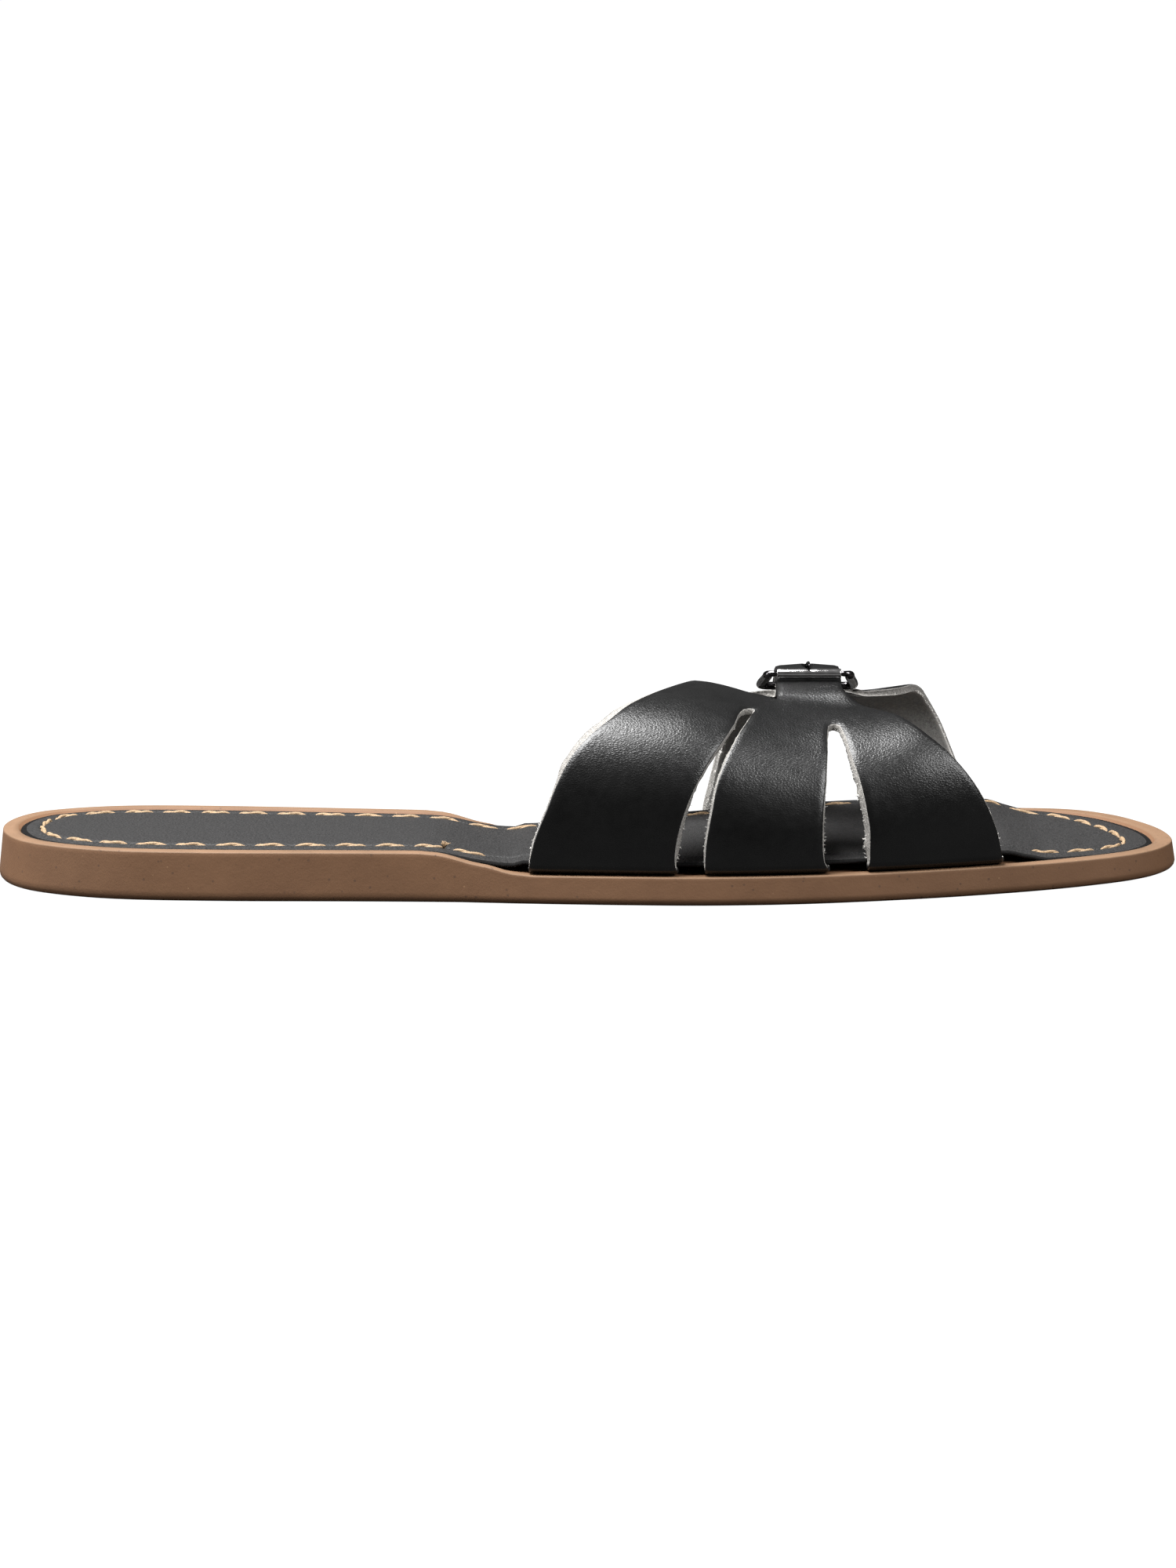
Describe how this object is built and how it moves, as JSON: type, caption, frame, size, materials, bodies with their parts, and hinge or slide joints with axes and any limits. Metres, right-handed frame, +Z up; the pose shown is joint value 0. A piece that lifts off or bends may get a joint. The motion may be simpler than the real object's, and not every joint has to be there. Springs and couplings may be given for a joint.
{
  "type": "slide sandal",
  "caption": "Flat slide sandal: thin rubber sole with a low heel, leather insole and slotted leather side panels joined over the foot by a roller buckle.",
  "frame": {"origin": "on the floor, under the middle of the sandal's box", "axes": "+X from the heel to the toe, +Y to the inner side of the foot, +Z up"},
  "size_m": [0.262, 0.0924, 0.048],
  "materials": {
    "outsole": "satin brown moulded rubber",
    "insole": "fine-grained matt black leather",
    "upper": "pebbled black leather with raw grey cut edges",
    "buckle": "polished nickel"
  },
  "bodies": {
    "root": {"outsole": "outsole", "insole": "insole", "lateral_upper": "upper", "medial_upper": "upper", "buckle_frame": "buckle", "buckle_roller": "buckle", "buckle_prong": "buckle"}
  },
  "joints": []
}
